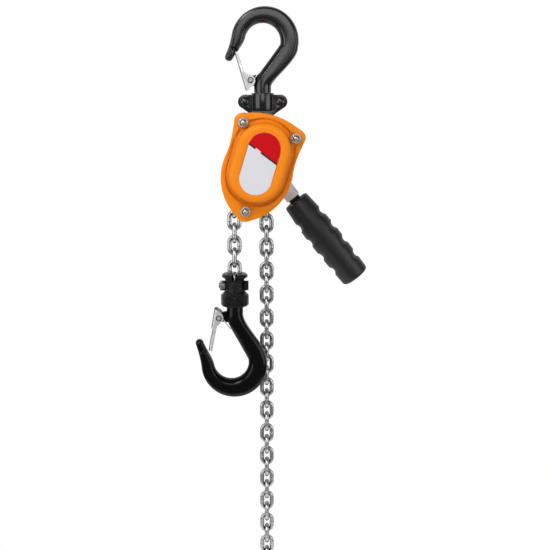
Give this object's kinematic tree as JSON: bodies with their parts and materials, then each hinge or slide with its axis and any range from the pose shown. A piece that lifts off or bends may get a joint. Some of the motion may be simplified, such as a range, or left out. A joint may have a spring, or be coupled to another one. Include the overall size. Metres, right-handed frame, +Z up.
{
  "type": "lever chain hoist",
  "caption": "Hand lever chain hoist with pressed covers, swivel top and bottom hooks, a round link load chain, a geared sheave, a ratchet brake and a grip lever.",
  "frame": {"origin": "centre of the top hook's bowl, where the support bar sits", "axes": "+Z up along the hanging hoist, +X right and -Y towards the viewer, seen from the gear cover"},
  "size_m": [0.1691, 0.1042, 0.5891],
  "materials": {
    "black_forged": "satin black finish on forged steel",
    "black_cast": "rough black casting",
    "zinc": "bright zinc plating",
    "yellow_zinc": "yellow passivated zinc plating",
    "chain_zinc": "zinc plated round link chain",
    "orange_paint": "orange powder coat",
    "plate_face": "printed plain colour fields, no text",
    "steel": "machined steel",
    "bronze": "sintered bronze",
    "lining": "moulded brake lining",
    "grip_rubber": "satin black moulded grip",
    "black_plastic": "moulded black plastic"
  },
  "bodies": {
    "top_hook": {"top_hook": "black_forged", "top_latch_spring": "zinc", "top_latch_rivet": "zinc"},
    "top_latch": {"top_latch": "zinc"},
    "top_yoke": {"top_yoke_front": "black_forged", "top_yoke_rear": "black_forged", "top_yoke_rivets": "black_forged"},
    "frame": {"suspension_pin": "steel", "gear_side_plate": "steel", "brake_side_plate": "steel", "stay_studs": "yellow_zinc", "stay_spacers": "zinc", "stay_washers": "zinc", "stay_nuts": "zinc", "gear_cover": "orange_paint", "rating_plate": "plate_face", "gear_side_bush": "bronze", "brake_side_bush": "bronze", "chain_stripper": "steel", "chain_guides": "steel", "load_chain_wrap": "chain_zinc", "pawl_pins": "zinc", "brake_cover": "orange_paint"},
    "load_sheave": {"load_sheave": "steel", "load_gear": "steel"},
    "upper_counter": {"upper_counter_gear": "steel"},
    "lower_counter": {"lower_counter_gear": "steel"},
    "drive_shaft": {"drive_shaft": "steel", "brake_hub": "steel", "inner_friction_disc": "lining", "outer_friction_disc": "lining", "change_gear": "steel", "hand_wheel": "black_plastic", "shaft_nut": "zinc"},
    "ratchet": {"ratchet_disc": "steel"},
    "upper_pawl": {"upper_pawl": "steel"},
    "lower_pawl": {"lower_pawl": "steel"},
    "lever": {"lever_housing_front": "zinc", "lever_housing_rear": "zinc", "lever_rivets": "zinc", "lever_tang": "zinc", "lever_ferrule": "black_plastic", "lever_grip": "grip_rubber"},
    "selector": {"selector_pawl": "steel", "selector_knob": "black_plastic"},
    "load_fall": {"load_chain_fall": "chain_zinc", "bottom_yoke_left": "black_cast", "bottom_yoke_right": "black_cast", "bottom_yoke_bolt": "black_cast", "bottom_yoke_nut": "zinc"},
    "bottom_hook": {"bottom_hook": "black_forged", "bottom_latch_spring": "zinc", "bottom_latch_rivet": "zinc"},
    "bottom_latch": {"bottom_latch": "zinc"},
    "chain_tail": {"load_chain_tail": "chain_zinc", "tail_end_ring": "chain_zinc"}
  },
  "joints": [
    {"name": "top_latch_pivot", "type": "hinge", "parent": "top_hook", "child": "top_latch", "pos_m": [-0.0112, 0, -0.0353], "axis": [0, 1, 0], "range_deg": [0, 35], "stiffness_Nm_per_rad": 0.02, "springref_deg": -17.19},
    {"name": "top_swivel", "type": "hinge", "parent": "top_hook", "child": "top_yoke", "pos_m": [-0.0001, 0, -0.055], "axis": [0, 0, 1], "continuous": true},
    {"name": "body_swing", "type": "hinge", "parent": "top_yoke", "child": "frame", "pos_m": [0, 0, -0.0738], "axis": [0, 1, 0], "range_deg": [-30, 15]},
    {"name": "sheave_turn", "type": "hinge", "parent": "frame", "child": "load_sheave", "pos_m": [-0.00231, 0, -0.1105], "axis": [0, 1, 0], "range_deg": [-47, 47]},
    {"name": "upper_counter_turn", "type": "hinge", "parent": "frame", "child": "upper_counter", "pos_m": [0.00319, 0, -0.09231], "axis": [0, 1, 0], "range_deg": [-132, 132]},
    {"name": "lower_counter_turn", "type": "hinge", "parent": "frame", "child": "lower_counter", "pos_m": [-0.0078, 0, -0.12869], "axis": [0, 1, 0], "range_deg": [-132, 132]},
    {"name": "shaft_turn", "type": "hinge", "parent": "frame", "child": "drive_shaft", "pos_m": [-0.00231, 0, -0.1105], "axis": [0, 1, 0], "range_deg": [-362, 362]},
    {"name": "ratchet_turn", "type": "hinge", "parent": "frame", "child": "ratchet", "pos_m": [-0.00231, 0, -0.1105], "axis": [0, 1, 0], "continuous": true},
    {"name": "upper_pawl_pivot", "type": "hinge", "parent": "frame", "child": "upper_pawl", "pos_m": [0.01512, 0, -0.08912], "axis": [0, 1, 0], "range_deg": [0, 10], "stiffness_Nm_per_rad": 0.01, "springref_deg": -17.19},
    {"name": "lower_pawl_pivot", "type": "hinge", "parent": "frame", "child": "lower_pawl", "pos_m": [-0.01973, 0, -0.13188], "axis": [0, 1, 0], "range_deg": [0, 10], "stiffness_Nm_per_rad": 0.01, "springref_deg": -17.19},
    {"name": "lever_turn", "type": "hinge", "parent": "frame", "child": "lever", "pos_m": [-0.00231, 0, -0.1105], "axis": [0, 1, 0], "continuous": true},
    {"name": "selector_turn", "type": "hinge", "parent": "lever", "child": "selector", "pos_m": [0.01881, 0, -0.13714], "axis": [0, 1, 0], "range_deg": [-18, 18]},
    {"name": "fall_run", "type": "slide", "parent": "frame", "child": "load_fall", "axis": [0, 0, 1], "range_m": [-0.012, 0.012], "deforming": ["load_chain_wrap"]},
    {"name": "tail_run", "type": "slide", "parent": "frame", "child": "chain_tail", "axis": [0, 0, 1], "range_m": [-0.0125, 0.0125]},
    {"name": "bottom_swivel", "type": "hinge", "parent": "load_fall", "child": "bottom_hook", "pos_m": [-0.02741, 0, -0.255], "axis": [0, 0, 1], "continuous": true, "deforming": ["load_chain_tail"]},
    {"name": "bottom_latch_pivot", "type": "hinge", "parent": "bottom_hook", "child": "bottom_latch", "pos_m": [-0.04281, 0, -0.26235], "axis": [0, -1, 0], "range_deg": [0, 35], "stiffness_Nm_per_rad": 0.02, "springref_deg": -17.19}
  ],
  "couplings": [
    {"joint": "sheave_turn", "follows": "fall_run", "rad_per_m": 65.45},
    {"joint": "upper_counter_turn", "follows": "fall_run", "rad_per_m": -183.26},
    {"joint": "lower_counter_turn", "follows": "fall_run", "rad_per_m": -183.26},
    {"joint": "shaft_turn", "follows": "fall_run", "rad_per_m": 513.13},
    {"joint": "tail_run", "follows": "fall_run", "ratio": -1}
  ]
}
